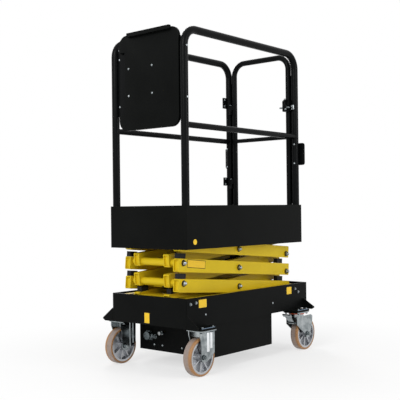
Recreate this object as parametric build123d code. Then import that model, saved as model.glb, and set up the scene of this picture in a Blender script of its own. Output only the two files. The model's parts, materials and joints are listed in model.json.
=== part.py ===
from build123d import *
import math
import os

os.makedirs("parts", exist_ok=True)

# Driving dimensions, in millimetres. Origin on the floor at the middle of the chassis,
# +X to the gate, the control plate at the other end, +Z up.
CHASSIS_L = 1136.0
CHASSIS_W = 552.0
TUB_H = 155.0
SHEET = 4.0
BOX_BOTTOM = 69.0

WHEEL_D = 200.0
WHEEL_W = 50.0
PLATE_L = 122.0
PLATE_W = 114.0
TRAIL = 68.0
OFFSET = 22.0
AXLE_D = 20.0

PITCH = 107.5
ARM_H = 71.0
ARM_T = 40.0
ARM_WALL = 5.0
END = 32.0
CRANK = 1.5
PIN_D = 28.0
TUBE_D = 42.0
ROLLER_D = 44.0
WEB = 5.0

RAIL_H = 1098.0
TOE_H = 153.0
POST_D = 42.0
MID_D = 32.0
GATE_D = 34.0

LIFT_DEG = 60.0
CYL_S = 110.0
CYL_H = -18.5
BARREL_D = 62.0
ROD_D = 34.0

# Clearances: in a bore all round, and between two seated pieces
FIT = 0.05
GAP = 0.2

# Values that follow from them
HALF_L = CHASSIS_L / 2
HALF_W = CHASSIS_W / 2
AXLE_Z = WHEEL_D / 2
CASTOR_H = WHEEL_D + 40
TUB_FLOOR = CASTOR_H + 10
TUB_TOP = TUB_FLOOR + TUB_H
CASTOR_Y = HALF_W + 16
FIXED_X = -HALF_L + 76
SWIVEL_X = HALF_L - 144
WING_OUT = CASTOR_Y - HALF_W + 63
BOX_X0 = -HALF_L + 201
BOX_X1 = HALF_L - 363
BOX_HALF_W = HALF_W - 8

LEFT_X = -HALF_L + 62
PIVOT_X = HALF_L - 118
SPAN = PIVOT_X - LEFT_X
MID_X = (LEFT_X + PIVOT_X) / 2
Z0 = TUB_TOP - 35
Z1 = Z0 + PITCH
Z2 = Z1 + PITCH
Z3 = Z2 + PITCH
ARM_L = math.hypot(SPAN, PITCH)
TILT = math.degrees(math.atan2(PITCH, SPAN))
ROD_S = ARM_L - 82
OUTER_Y = HALF_W - 116
INNER_Y = OUTER_Y - ARM_T - 30
WIDE = OUTER_Y + ARM_T
TRACK_IN = WIDE + 6
TRACK_OUT = TRACK_IN + 40
ROLLER_Y = TRACK_OUT - 10

PLAT_X0 = -HALF_L - 2
PLAT_X1 = HALF_L - 58
HALF_P = HALF_W + 6.5
FLOOR_Z = Z3 + 42.5
DECK_TOP = FLOOR_Z - 1.5
DECK_BOTTOM = FLOOR_Z - 4
PLAT_BOTTOM = Z3 - 34.5
TOE_TOP = FLOOR_Z + TOE_H
RAIL_TOP = FLOOR_Z + RAIL_H
CROWN = RAIL_TOP - POST_D / 2
MID_RAIL = FLOOR_Z + 0.523 * RAIL_H
POST_Y = HALF_P - SHEET - POST_D / 2 - GAP
POST_XL = PLAT_X0 + SHEET + POST_D / 2 + GAP
POST_XR = PLAT_X1 - SHEET - POST_D / 2 - GAP


# Plain shapes placed by their faces
def block(x0, x1, y0, y1, z0, z1):
    size = (x1 - x0, y1 - y0, z1 - z0)
    middle = ((x0 + x1) / 2, (y0 + y1) / 2, (z0 + z1) / 2)
    return Pos(*middle) * Box(*size)


def side_block(side, x0, x1, ya, yb, z0, z1):
    low, high = sorted((side * ya, side * yb))
    return block(x0, x1, low, high, z0, z1)


def rod_x(y, z, d, x0, x1):
    return Pos((x0 + x1) / 2, y, z) * Rot(0, 90, 0) * Cylinder(d / 2, x1 - x0)


def rod_y(x, z, d, y0, y1):
    return Pos(x, (y0 + y1) / 2, z) * Rot(90, 0, 0) * Cylinder(d / 2, y1 - y0)


def side_rod(side, x, z, d, ya, yb):
    low, high = sorted((side * ya, side * yb))
    return rod_y(x, z, d, low, high)


def rod_z(x, y, d, z0, z1):
    return Pos(x, y, (z0 + z1) / 2) * Cylinder(d / 2, z1 - z0)


def plate_x(points, x0, x1):
    face = Plane.YZ.offset(x0) * make_face(Polyline(*points, close=True))
    return extrude(face, x1 - x0)


def plate_y(points, y0, y1):
    face = Plane.XZ.offset(-y0) * make_face(Polyline(*points, close=True))
    return extrude(face, -(y1 - y0))


def plate_z(points, z0, z1):
    face = Plane.XY.offset(z0) * make_face(Polyline(*points, close=True))
    return extrude(face, z1 - z0)


def rounded(shape, axis, radius):
    return fillet(shape.edges().filter_by(axis), radius)


def save(name, shapes):
    if not isinstance(shapes, list):
        shapes = [shapes]
    solids = []
    for shape in shapes:
        solids.extend(shape.solids())
    export_step(Compound(children=solids), "parts/" + name + ".step")
    print(name, len(solids))


# Chassis tub: a folded tray with a rim, a wing at each corner and the castor flanges
LIP = 14.0


def chassis_tub():
    tub = rounded(block(-HALF_L, HALF_L, -HALF_W, HALF_W, TUB_FLOOR, TUB_TOP), Axis.Z, 6)
    tub -= block(-HALF_L + SHEET, HALF_L - SHEET, -HALF_W + SHEET, HALF_W - SHEET,
                 TUB_FLOOR + 6, TUB_TOP - SHEET)
    tub -= block(-HALF_L + LIP, HALF_L - LIP, -HALF_W + LIP, HALF_W - LIP,
                 TUB_FLOOR + 6, TUB_TOP + 1)
    for side in (-1, 1):
        tub += wing(side, -HALF_L, 72)
        tub += wing(side, HALF_L - 44, 60)
        for x in (FIXED_X + OFFSET, SWIVEL_X):
            tub += side_block(side, x - PLATE_L / 2 - 4, x + PLATE_L / 2 + 4, CASTOR_Y - 70,
                              HALF_W + WING_OUT - 12, CASTOR_H, TUB_FLOOR + 1)
    return tub


def wing(side, x, rise):
    inner = side * (HALF_W - 1)
    tip = side * (HALF_W + WING_OUT)
    toe = side * (HALF_W + WING_OUT - 16)
    points = [(inner, TUB_FLOOR + rise), (side * HALF_W, TUB_FLOOR + rise),
              (tip, TUB_FLOOR + 12), (tip, TUB_FLOOR + 6), (toe, TUB_FLOOR - 4),
              (inner, TUB_FLOOR - 4)]
    return plate_x(points, x, x + WEB)


save("chassis_tub", chassis_tub())


# Power box hung under the tub, and one plain block for what is closed inside it
def power_box():
    box = rounded(block(BOX_X0, BOX_X1, -BOX_HALF_W, BOX_HALF_W, BOX_BOTTOM, TUB_FLOOR),
                  Axis.Z, 12)
    return box - block(BOX_X0 + 3, BOX_X1 - 3, -BOX_HALF_W + 3, BOX_HALF_W - 3,
                       BOX_BOTTOM + 3, TUB_FLOOR + 1)


def battery_block():
    return block(BOX_X0 + 40, BOX_X1 - 240, -BOX_HALF_W + 68, BOX_HALF_W - 68,
                 BOX_BOTTOM + 3, TUB_FLOOR - 28)


# Charger socket with its cap, push button and lowering valve on the end of the box
def box_fittings():
    x = BOX_X0 - GAP
    y = BOX_HALF_W - 84
    z = BOX_BOTTOM + 82
    socket = rounded(block(x - 4, x, y - 26, y + 26, z - 26, z + 26), Axis.X, 8)
    socket += rod_x(y, z, 40, x - 20, x - 4)
    socket += rod_x(y, z, 46, x - 27, x - 20)
    button = rod_x(y - 46, z - 4, 26, x - 4, x)
    button += rod_x(y - 46, z - 4, 17, x - 14, x - 4)
    valve = rod_x(y - 100, z + 22, 22, x - 6, x)
    valve += rod_x(y - 100, z + 22, 9, x - 20, x - 6)
    valve += rod_x(y - 100, z + 22, 20, x - 28, x - 20)
    return [socket, button, valve]


save("power_box", power_box())
save("battery_block", battery_block())
save("box_fittings", box_fittings())


# Yellow base frame: roller channels, pivot lugs and cross members
def base_frame():
    low = Z0 - ROLLER_D / 2 - 0.5
    high = Z0 + ROLLER_D / 2 + 0.5
    x0 = LEFT_X - 39
    x1 = PIVOT_X - 50
    foot = TUB_FLOOR + 6
    frame = block(x0 + 65, x0 + 115, -TRACK_OUT, TRACK_OUT, foot, foot + 26)
    for x in (MID_X - 32, PIVOT_X - 20):
        frame += block(x, x + 50, -TRACK_OUT, TRACK_OUT, foot, foot + 26)
    for side in (-1, 1):
        frame += side_block(side, x0, x1, TRACK_OUT - WEB, TRACK_OUT, foot, high + WEB)
        frame += side_block(side, x0, x1, TRACK_IN, TRACK_OUT, low - WEB, low)
        frame += side_block(side, x0, x1, TRACK_IN, TRACK_OUT, high, high + WEB)
        frame += side_block(side, x1 - WEB, x1, TRACK_IN, TRACK_OUT, foot, high + WEB)
        frame += side_block(side, x1 - WEB, PIVOT_X + 55, TRACK_IN, TRACK_OUT, foot, foot + 8)
        frame += lug(side, TRACK_IN, foot)
        frame += lug(side, OUTER_Y - 20, foot)
    return frame - rod_y(PIVOT_X, Z0, PIN_D + 2 * FIT, -TRACK_OUT, TRACK_OUT)


def lug(side, y, foot):
    plate = side_block(side, PIVOT_X - 55, PIVOT_X + 55, y, y + 12, foot, Z0 + 28)
    top = plate.edges().filter_by(Axis.Y).group_by(Axis.Z)[-1]
    return fillet(top, 20)


save("base_frame", base_frame())

# Castor wheels: a cast tread on a ribbed alloy centre
RIM_D = WHEEL_D - 24
BOSS_D = 50.0
RIBS = 8


def tyre(x, y):
    ring = rod_y(x, AXLE_Z, WHEEL_D, y - WHEEL_W / 2, y + WHEEL_W / 2)
    ring = fillet(ring.edges().filter_by(GeomType.CIRCLE), 6)
    return ring - rod_y(x, AXLE_Z, RIM_D, y - WHEEL_W, y + WHEEL_W)


def hub(x, y):
    half = WHEEL_W / 2
    centre = rod_y(x, AXLE_Z, RIM_D, y - half + 1, y + half - 1)
    centre -= rod_y(x, AXLE_Z, RIM_D - 22, y - WHEEL_W, y + WHEEL_W)
    centre += rod_y(x, AXLE_Z, RIM_D - 10, y - 5, y + 5)
    for index in range(RIBS):
        rib = Pos(RIM_D / 4, 0, 0) * Box(RIM_D / 2 - 8, 2 * half - 12, 7)
        centre += Pos(x, y, AXLE_Z) * Rot(0, index * 360 / RIBS + 12, 0) * rib
    centre += rod_y(x, AXLE_Z, BOSS_D, y - half - 4, y + half + 4)
    return centre - rod_y(x, AXLE_Z, AXLE_D + 2 * FIT, y - WHEEL_W, y + WHEEL_W)


# Castor forks, plates, seals and the foot pedals of the brakes
LEG_Y = WHEEL_W / 2 + 8.5
LEG_T = 5.0
CROWN_Z = WHEEL_D + 5
BRAKE_X = -46.0
BRAKE_Z = CASTOR_H - 64


def leg(points, x_axle, y, side):
    low, high = sorted((y + side * LEG_Y, y + side * (LEG_Y + LEG_T)))
    return plate_y(points, low, high) + rod_y(x_axle, AXLE_Z, 50, low, high)


def pressed_rib(x, y, side, z0, z1):
    face = y + side * (LEG_Y + LEG_T)
    low, high = sorted((face - side, face + side * 4))
    rib = rod_z(x, face - side * 4, 15, z0, z1)
    return rib & block(x - 10, x + 10, low, high, z0, z1)


def castor_plate(x, y, thick):
    plate = block(x - PLATE_L / 2, x + PLATE_L / 2, y - PLATE_W / 2, y + PLATE_W / 2,
                  CASTOR_H - thick, CASTOR_H)
    return rounded(plate, Axis.Z, 10)


def fixed_bracket(x, y):
    middle = x + OFFSET
    left = middle - PLATE_L / 2
    right = middle + PLATE_L / 2
    bracket = castor_plate(middle, y, 5)
    points = [(left, CASTOR_H - 4), (right, CASTOR_H - 4), (right - 2, AXLE_Z + 16),
              (x + 50, AXLE_Z - 10), (x + 16, AXLE_Z - 22), (x - 10, AXLE_Z - 22),
              (x - 25, AXLE_Z), (x - 25, CASTOR_H - 62), (left, CASTOR_H - 26)]
    for side in (-1, 1):
        bracket += leg(points, x, y, side)
        bracket += pressed_rib(x + 39, y, side, AXLE_Z - 8, CASTOR_H - 8)
        bracket += pressed_rib(x + 63, y, side, AXLE_Z + 10, CASTOR_H - 8)
    return bracket + rod_y(x, AXLE_Z, AXLE_D, y - LEG_Y - 12, y + LEG_Y + 12)


def swivel_fork(x, y):
    wheel = x + TRAIL
    fork = rod_z(x, y, 88, CROWN_Z + 1, CASTOR_H - 15)
    fork += block(x - 52, x + 60, y - LEG_Y - LEG_T, y + LEG_Y + LEG_T, CROWN_Z, CROWN_Z + 4)
    fork += rod_z(x, y, 28, CROWN_Z - 12, CROWN_Z + 1)
    points = [(x - 52, CROWN_Z + 4), (x + 104, CROWN_Z + 8), (x + 120, CROWN_Z - 2),
              (x + 116, AXLE_Z + 62), (wheel + 25, AXLE_Z), (wheel + 12, AXLE_Z - 22),
              (wheel - 12, AXLE_Z - 22), (wheel - 27, AXLE_Z - 2), (x - 52, BRAKE_Z - 12)]
    for side in (-1, 1):
        fork += leg(points, wheel, y, side)
    fork += rod_y(x + BRAKE_X, BRAKE_Z, 10, y - LEG_Y - 1, y + LEG_Y + 1)
    return fork + rod_y(wheel, AXLE_Z, AXLE_D, y - LEG_Y - 12, y + LEG_Y + 12)


def swivel_plate(x, y):
    return castor_plate(x, y, 6) + rod_z(x, y, 100, CASTOR_H - 9, CASTOR_H - 5)


def seal_ring(x, y):
    return rod_z(x, y, 96, CASTOR_H - 14.8, CASTOR_H - 9.2)


def brake_pedal(x, y):
    lever = Pos(x - 76, y, CASTOR_H - 38) * Rot(0, 41, 0) * Box(80, 40, 6)
    pad = Pos(x - 101, y, CASTOR_H - 16.5) * Rot(0, 41, 0) * Box(18, 58, 8)
    lever += pad
    lever += rod_y(x + BRAKE_X, BRAKE_Z, 19, y - 20, y + 20)
    return lever - rod_y(x + BRAKE_X, BRAKE_Z, 10 + 2 * FIT, y - WHEEL_W, y + WHEEL_W)


save("fixed_brackets", [fixed_bracket(FIXED_X, -CASTOR_Y), fixed_bracket(FIXED_X, CASTOR_Y)])
save("swivel_plates", [swivel_plate(SWIVEL_X, -CASTOR_Y), swivel_plate(SWIVEL_X, CASTOR_Y)])
for name, y in (("near", -CASTOR_Y), ("far", CASTOR_Y)):
    save("fixed_tyre_" + name, tyre(FIXED_X, y))
    save("fixed_hub_" + name, hub(FIXED_X, y))
    save("swivel_fork_" + name, swivel_fork(SWIVEL_X, y))
    save("seal_ring_" + name, seal_ring(SWIVEL_X, y))
    save("brake_pedal_" + name, brake_pedal(SWIVEL_X, y))
    save("swivel_tyre_" + name, tyre(SWIVEL_X + TRAIL, y))
    save("swivel_hub_" + name, hub(SWIVEL_X + TRAIL, y))


# Scissor arms. Each bar is drawn along X about its middle, with open tube ends,
# and turned to its folded angle. Under the deck its corners are rounded to swing clear.
def arm_bar(y0, descending, level):
    reach = ARM_L / 2 + END
    bar = Box(2 * reach, ARM_T, ARM_H)
    high_end = 0 if descending else -1
    for end in (0, -1):
        corners = bar.edges().filter_by(Axis.Y).group_by(Axis.X)[end]
        under_deck = level == 3 and end == high_end
        bar = fillet(corners, 22 if under_deck else 7)
    pocket = Box(20, ARM_T - 2 * ARM_WALL, ARM_H - 2 * ARM_WALL - 4)
    bar -= Pos(-reach, 0, 0) * pocket
    bar -= Pos(reach, 0, 0) * pocket
    turn = TILT - CRANK
    return Pos(0, y0 + ARM_T / 2, 0) * Rot(0, turn if descending else -turn, 0) * bar


def place(shape, level):
    return Pos(MID_X, 0, Z0 + (level - 0.5) * PITCH) * shape


def pin_heads(x, z):
    return [side_rod(side, x, z, 36, WIDE - 1, WIDE + 4) for side in (-1, 1)]


def outer_pair(level):
    low = Z0 + (level - 1) * PITCH
    high = Z0 + level * PITCH
    mid = (low + high) / 2
    pair = place(arm_bar(OUTER_Y, True, level), level)
    pair += place(arm_bar(-WIDE, True, level), level)
    for side in (-1, 1):
        pair += side_rod(side, MID_X, mid, PIN_D, INNER_Y + 2, WIDE)
        pair += side_rod(side, MID_X, mid, TUBE_D + 6, INNER_Y + ARM_T + 1, WIDE)
    heads = pin_heads(MID_X, mid)
    pair += rod_y(LEFT_X, high, PIN_D, -WIDE, WIDE)
    if level == 3:
        pair += rod_y(LEFT_X, high, PIN_D, -ROLLER_Y, ROLLER_Y)
    else:
        heads += pin_heads(LEFT_X, high)
    if level == 1:
        for side in (-1, 1):
            pair += side_rod(side, PIVOT_X, low, PIN_D, OUTER_Y - 20, TRACK_IN + 11)
            pair += eye_beam(side)
    else:
        pair += rod_y(PIVOT_X, low, PIN_D, -WIDE, WIDE)
        heads += pin_heads(PIVOT_X, low)
    for head in heads:
        pair += head
    return pair


def eye_beam(side):
    x, z = eye_a()
    beam = side_block(side, x - 20, x + 20, 36, OUTER_Y + 1, z - 9, z + 9)
    return beam + side_rod(side, x, z, 24, 0, 40)


def inner_pair(level):
    low = Z0 + (level - 1) * PITCH
    high = Z0 + level * PITCH
    mid = (low + high) / 2
    reach = INNER_Y + ARM_T + 20
    pair = place(arm_bar(INNER_Y, False, level), level)
    pair += place(arm_bar(-INNER_Y - ARM_T, False, level), level)
    if level < 3:
        pair += rod_y(PIVOT_X, high, TUBE_D, -reach, reach)
    if level > 1:
        pair += rod_y(LEFT_X, low, TUBE_D, -reach, reach)
    else:
        pair += end_plate()
    if level == 2:
        for side in (-1, 1):
            pair += rod_lug(side, high)
    if level < 3:
        pair -= rod_y(PIVOT_X, high, PIN_D + 2 * FIT, -WIDE, WIDE)
    else:
        pair += rod_y(PIVOT_X, high, PIN_D, -OUTER_Y - 12, OUTER_Y + 12)
    if level > 1:
        pair -= rod_y(LEFT_X, low, PIN_D + 2 * FIT, -WIDE, WIDE)
    else:
        pair += rod_y(LEFT_X, Z0, PIN_D, -ROLLER_Y, ROLLER_Y)
    for side in (-1, 1):
        pair -= side_rod(side, MID_X, mid, PIN_D + 2 * FIT, INNER_Y - 50, WIDE)
    return pair


def end_plate():
    reach = INNER_Y + ARM_T + 22
    plate = block(LEFT_X - 27, LEFT_X + 96, -reach, reach, Z0 + 28, Z0 + 34)
    return rounded(plate, Axis.Z, 14)


def rod_lug(side, high):
    x, z = eye_b()
    points = [(x - 20, z + 16), (x - 20, z - 16), (x + 4, z - 24),
              (PIVOT_X, high - 20), (PIVOT_X, high + 20), (x + 4, z + 24)]
    low, top = sorted((side * 32, side * 42))
    return plate_y(points, low, top) + side_rod(side, x, z, 28, 25.5, 48)


def eye_a():
    a = math.radians(TILT)
    x = LEFT_X + CYL_S * math.cos(a) + CYL_H * math.sin(a)
    z = Z1 - CYL_S * math.sin(a) + CYL_H * math.cos(a)
    return x, z


def eye_b():
    a = math.radians(TILT)
    return LEFT_X + ROD_S * math.cos(a), Z1 + ROD_S * math.sin(a)


for level in (1, 2, 3):
    save("outer_arms_%d" % level, outer_pair(level))
    save("inner_arms_%d" % level, inner_pair(level))


def rollers(z):
    wheels = []
    for side in (-1, 1):
        wheel = side_rod(side, LEFT_X, z, ROLLER_D, TRACK_IN + 1, ROLLER_Y - 1)
        wheels.append(wheel - rod_y(LEFT_X, z, PIN_D + 2 * FIT, -TRACK_OUT, TRACK_OUT))
    return wheels


save("lower_rollers", rollers(Z0))
save("upper_rollers", rollers(Z3))

# Black stop pads on top of the arms, a little lower than the space between two arms
PAD_H = PITCH * math.cos(math.radians(TILT - CRANK)) - ARM_H - 8


def stop_pad(x, y0, y1, level, descending):
    turn = math.radians(TILT - CRANK)
    slope = -math.tan(turn) if descending else math.tan(turn)
    middle = Z0 + (level - 0.5) * PITCH + (x - MID_X) * slope
    z = middle + ARM_H / 2 / math.cos(turn) + PAD_H / 2 + 0.3
    angle = TILT - CRANK if descending else CRANK - TILT
    return Pos(x, (y0 + y1) / 2, z) * Rot(0, angle, 0) * Box(54, y1 - y0, PAD_H)


def outer_pads(level):
    pads = []
    for x in (LEFT_X + 1, PIVOT_X - 56):
        for side in (-1, 1):
            low, high = sorted((side * (OUTER_Y + 6), side * (WIDE - 6)))
            pads.append(stop_pad(x, low, high, level, True))
    return pads


def inner_pads():
    pads = []
    for side in (-1, 1):
        low, high = sorted((side * (INNER_Y + 4), side * (INNER_Y + ARM_T - 4)))
        pads.append(stop_pad(LEFT_X + 12, low, high, 1, False))
    return pads


save("stop_pads_1", outer_pads(1))
save("stop_pads_2", outer_pads(2))
save("inner_pads", inner_pads())

# Cylinder between the first outer pair and the second inner pair
ax, az = eye_a()
bx, bz = eye_b()
CYL_L = math.hypot(bx - ax, bz - az)
CYL_A = math.degrees(math.atan2(bz - az, bx - ax))
HEAD = CYL_L - 150
PISTON = CYL_L - 480


def along(shape):
    return Pos(ax, 0, az) * Rot(0, -CYL_A, 0) * shape


def barrel():
    tube = rod_x(0, 0, BARREL_D, 44, HEAD)
    tube += rod_x(0, 0, BARREL_D + 8, HEAD - 34, HEAD)
    tube += rod_y(0, 0, 46, -30, 30)
    tube += block(0, 46, -25, 25, -20, 20)
    for x in (66, HEAD - 52):
        tube += rod_z(x, 0, 20, 24, BARREL_D / 2 + 9)
    tube -= rod_x(0, 0, BARREL_D - 16, 60, HEAD - 30)
    tube -= rod_x(0, 0, ROD_D + 2 * FIT, HEAD - 40, HEAD + 1)
    return tube - rod_y(0, 0, 24 + 2 * FIT, -40, 40)


def rod():
    bar = rod_x(0, 0, ROD_D, PISTON, CYL_L - 20)
    bar += rod_x(0, 0, BARREL_D - 16.6, PISTON, PISTON + 30)
    bar += rod_y(CYL_L, 0, 56, -24, 24)
    return bar - rod_y(CYL_L, 0, 28.4, -40, 40)


save("cylinder_barrel", along(barrel()))
save("cylinder_rod", along(rod()))

# Platform: skirt and toe boards round a deck with a raised tread sheet
TREAD_IN = 52.0
ENTRY = POST_Y - 45


def platform_box():
    skirt = rounded(block(PLAT_X0, PLAT_X1, -HALF_P, HALF_P, PLAT_BOTTOM, TOE_TOP), Axis.Z, 5)
    skirt -= block(PLAT_X0 + SHEET, PLAT_X1 - SHEET, -HALF_P + SHEET, HALF_P - SHEET,
                   PLAT_BOTTOM - 1, TOE_TOP + 1)
    skirt += block(PLAT_X0 + 2, PLAT_X1 - 2, -HALF_P + 2, HALF_P - 2, DECK_BOTTOM, DECK_TOP)
    tread = block(PLAT_X0 + TREAD_IN, PLAT_X1 - TREAD_IN, -HALF_P + TREAD_IN,
                  HALF_P - TREAD_IN, DECK_TOP - 1, FLOOR_Z)
    skirt += rounded(tread, Axis.Z, 10)
    return skirt - block(PLAT_X1 - SHEET - 1, PLAT_X1 + 1, -ENTRY, ENTRY, DECK_TOP, TOE_TOP + 1)


def upper_channels():
    low = Z3 - ROLLER_D / 2 - 0.5
    high = Z3 + ROLLER_D / 2 + 0.5
    x0 = LEFT_X - 39
    x1 = PIVOT_X - 50
    pieces = []
    for side in (-1, 1):
        channel = side_block(side, x0, x1, TRACK_OUT - WEB, TRACK_OUT, low - WEB, DECK_BOTTOM)
        channel += side_block(side, x0, x1, TRACK_IN, TRACK_OUT, low - WEB, low)
        channel += side_block(side, x0, x1, TRACK_IN, TRACK_OUT, high, high + WEB)
        pieces.append(channel)
        ear = side_block(side, PIVOT_X - 45, PIVOT_X + 45, OUTER_Y - 15, OUTER_Y - 3,
                         Z3 - 26, DECK_BOTTOM)
        corners = ear.edges().filter_by(Axis.Y).group_by(Axis.Z)[0]
        ear = fillet(corners, 18)
        pieces.append(ear - rod_y(PIVOT_X, Z3, PIN_D + 2 * FIT, -WIDE, WIDE))
    return pieces


save("platform_box", platform_box())
save("upper_channels", upper_channels())


# Guardrails: a bent hoop with a mid rail on each long side
def bent(points, radius, d):
    wire = FilletPolyline(*points, radius=radius)
    section = Plane(origin=wire @ 0, z_dir=wire % 0) * Circle(d / 2)
    return sweep(section, path=wire)


def guard_rails():
    hoops = []
    foot = DECK_TOP + GAP
    for side in (-1, 1):
        y = side * POST_Y
        hoop = bent([(POST_XL, y, foot), (POST_XL, y, CROWN), (POST_XR, y, CROWN),
                     (POST_XR, y, foot)], 90, POST_D)
        hoops.append(hoop + rod_x(y, MID_RAIL, MID_D, POST_XL, POST_XR))
    return hoops


save("guard_rails", guard_rails())

# Control plate: a round-cornered pan between the end posts, with a lip over it
PAN_X = PLAT_X0 + 6
PAN_HALF = POST_Y - POST_D / 2 - 4
PAN_TOP = RAIL_TOP - 33
PAN_BOTTOM = MID_RAIL - 9
PAN_R = 55.0
PAN_DEEP = 18.0


def control_plate():
    pan = rounded(block(PAN_X, PAN_X + PAN_DEEP, -PAN_HALF, PAN_HALF, PAN_BOTTOM, PAN_TOP),
                  Axis.X, PAN_R)
    pan -= rounded(block(PAN_X + 3, PAN_X + PAN_DEEP + 1, -PAN_HALF + 3, PAN_HALF - 3,
                         PAN_BOTTOM + 3, PAN_TOP - 3), Axis.X, PAN_R - 3)
    edge = POST_Y - POST_D / 2 - GAP
    for side in (-1, 1):
        pan += side_block(side, PAN_X, PAN_X + 34, PAN_HALF - 3, edge,
                          PAN_BOTTOM + 70, PAN_TOP - 80)
    half = 0.62 * POST_Y
    front = PLAT_X0 - 20
    pan += block(PAN_X, PAN_X + 4, -half, half, PAN_TOP - 2, RAIL_TOP)
    pan += block(front, PAN_X + 4, -half, half, RAIL_TOP - 4, RAIL_TOP)
    return pan + block(front, front + 4, -half + 8, half - 8, RAIL_TOP - 13, RAIL_TOP - 2)


# Control box with a slanted panel, its joystick and its stop button
CONTROL_X = PAN_X + 3 + GAP
CONTROL_Z = PAN_BOTTOM + 170
CONTROL_H = 195.0
CONTROL_Y0 = -80.0
CONTROL_Y1 = 160.0
SLANT_X = 52.0
SLANT_Z = 105.0


def control_box():
    x = CONTROL_X
    z = CONTROL_Z
    top = z + CONTROL_H
    points = [(x, z), (x + 106, z), (x + 112, z + 6), (x + 112, top - SLANT_Z),
              (x + 112 - SLANT_X, top), (x, top)]
    return rounded(plate_y(points, CONTROL_Y0, CONTROL_Y1), Axis.Y, 2.5)


def on_panel(shape, y):
    angle = math.degrees(math.atan2(SLANT_Z, SLANT_X))
    middle = Pos(CONTROL_X + 112 - SLANT_X / 2, y, CONTROL_Z + CONTROL_H - SLANT_Z / 2)
    return middle * Rot(0, angle, 0) * shape


def joystick():
    stick = Pos(0, 0, 5 + GAP) * Cylinder(24, 10)
    stick += Pos(0, 0, 18) * Cone(18, 8, 18)
    stick += Pos(0, 0, 30) * Cylinder(8, 22)
    return on_panel(stick, (CONTROL_Y0 + CONTROL_Y1) / 2 - 20)


def stop_button():
    head = Pos(0, 0, 25) * Cylinder(18, 12)
    head = fillet(head.edges().filter_by(GeomType.CIRCLE).sort_by(Axis.Z)[-1], 5)
    head += Pos(0, 0, 14) * Cylinder(9, 12)
    head += Pos(0, 0, 5 + GAP) * Cylinder(21, 10)
    return on_panel(head, CONTROL_Y1 - 45)


save("control_plate", control_plate())
save("control_box", control_box())
save("joystick", joystick())
save("stop_button", stop_button())

# Gate hung on the far post, with its kick plate and latch
GATE_Y = POST_Y - POST_D / 2 - 8 - GATE_D / 2
GATE_X = POST_XR
HINGE_X = GATE_X - 20
HINGE_Y = POST_Y - POST_D / 2 - 4.5
HINGE_Z = (FLOOR_Z + 265, FLOOR_Z + 750)
LATCH_Z = FLOOR_Z + 765


def hinge_leaf(z):
    leaf = plate_z([(HINGE_X - 6, HINGE_Y + 6), (HINGE_X + 6, HINGE_Y - 6),
                    (GATE_X + 4, POST_Y - 4), (GATE_X - 8, POST_Y + 8)], z, z + 30)
    leaf += rod_z(HINGE_X, HINGE_Y, 17, z, z + 30)
    leaf -= rod_z(POST_XR, POST_Y, POST_D + 2 * GAP, z - 1, z + 31)
    return leaf + rod_z(HINGE_X, HINGE_Y, 10, z, z + 60)


def knuckle(z):
    leaf = plate_z([(HINGE_X - 6, HINGE_Y - 6), (HINGE_X + 6, HINGE_Y + 6),
                    (GATE_X + 6, GATE_Y + 6), (GATE_X - 6, GATE_Y - 6)], z + 30.4, z + 58)
    leaf += rod_z(HINGE_X, HINGE_Y, 17, z + 30.4, z + 58)
    return leaf - rod_z(HINGE_X, HINGE_Y, 10 + 2 * FIT, z, z + 60)


def gate():
    foot = FLOOR_Z + 60
    frame = bent([(GATE_X, GATE_Y, foot), (GATE_X, GATE_Y, CROWN), (GATE_X, -GATE_Y, CROWN),
                  (GATE_X, -GATE_Y, foot)], 80, GATE_D)
    frame += rod_y(GATE_X, MID_RAIL, 26, -GATE_Y, GATE_Y)
    frame += block(GATE_X - 2, GATE_X + 2, -GATE_Y, GATE_Y, FLOOR_Z + 12, TOE_TOP - 2)
    for z in HINGE_Z:
        frame += knuckle(z)
    latch = block(GATE_X - 36, GATE_X - 12, -GATE_Y - 28, -GATE_Y + 22, LATCH_Z - 35, LATCH_Z + 35)
    return frame + rounded(latch, Axis.X, 8)


def post_plates():
    plates = []
    outer = POST_Y + POST_D / 2 + GAP
    for side in (-1, 1):
        plate = side_block(side, POST_XR - 32, POST_XR + 57, outer, outer + 6,
                           MID_RAIL - 176, MID_RAIL - 40)
        plates.append(rounded(plate, Axis.Y, 16))
    return plates


save("gate", gate())
save("gate_hinges", [hinge_leaf(z) for z in HINGE_Z])
save("post_plates", post_plates())
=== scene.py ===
# %% [markdown]
# A push-around scissor lift: four castors carry a black tub, a folded pack of
# yellow arms stands in it, and a black cage for one worker stands on the pack.
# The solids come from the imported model, so this notebook gives them their
# finishes and adds the fasteners and fittings that the solids leave out.

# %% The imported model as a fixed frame
import json
import math
import bpy
from mathutils import Matrix, Vector


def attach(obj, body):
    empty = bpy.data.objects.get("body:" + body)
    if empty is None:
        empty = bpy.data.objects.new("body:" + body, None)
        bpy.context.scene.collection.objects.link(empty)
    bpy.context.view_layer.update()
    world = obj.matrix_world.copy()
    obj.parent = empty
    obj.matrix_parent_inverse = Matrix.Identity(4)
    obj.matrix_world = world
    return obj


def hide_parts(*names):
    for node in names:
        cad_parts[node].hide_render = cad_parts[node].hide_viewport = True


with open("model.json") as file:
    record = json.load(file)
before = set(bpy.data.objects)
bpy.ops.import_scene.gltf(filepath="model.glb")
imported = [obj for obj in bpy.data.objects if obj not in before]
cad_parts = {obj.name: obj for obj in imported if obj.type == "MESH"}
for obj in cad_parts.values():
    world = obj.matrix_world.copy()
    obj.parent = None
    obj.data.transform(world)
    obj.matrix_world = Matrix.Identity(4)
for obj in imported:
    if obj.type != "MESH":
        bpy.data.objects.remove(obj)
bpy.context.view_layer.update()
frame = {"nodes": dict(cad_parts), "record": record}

NODES = frame["nodes"]

# %% [markdown]
# The camera stands where the photograph was taken from: a long lens at the
# height of the deck, turned so that the control plate faces it on the left.
# Focal length and shift are in pixels of a square image of 400, and Blender
# wants the first in millimetres of its sensor. The roll is small, and all of
# it comes from the same fit as the sizes.

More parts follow.
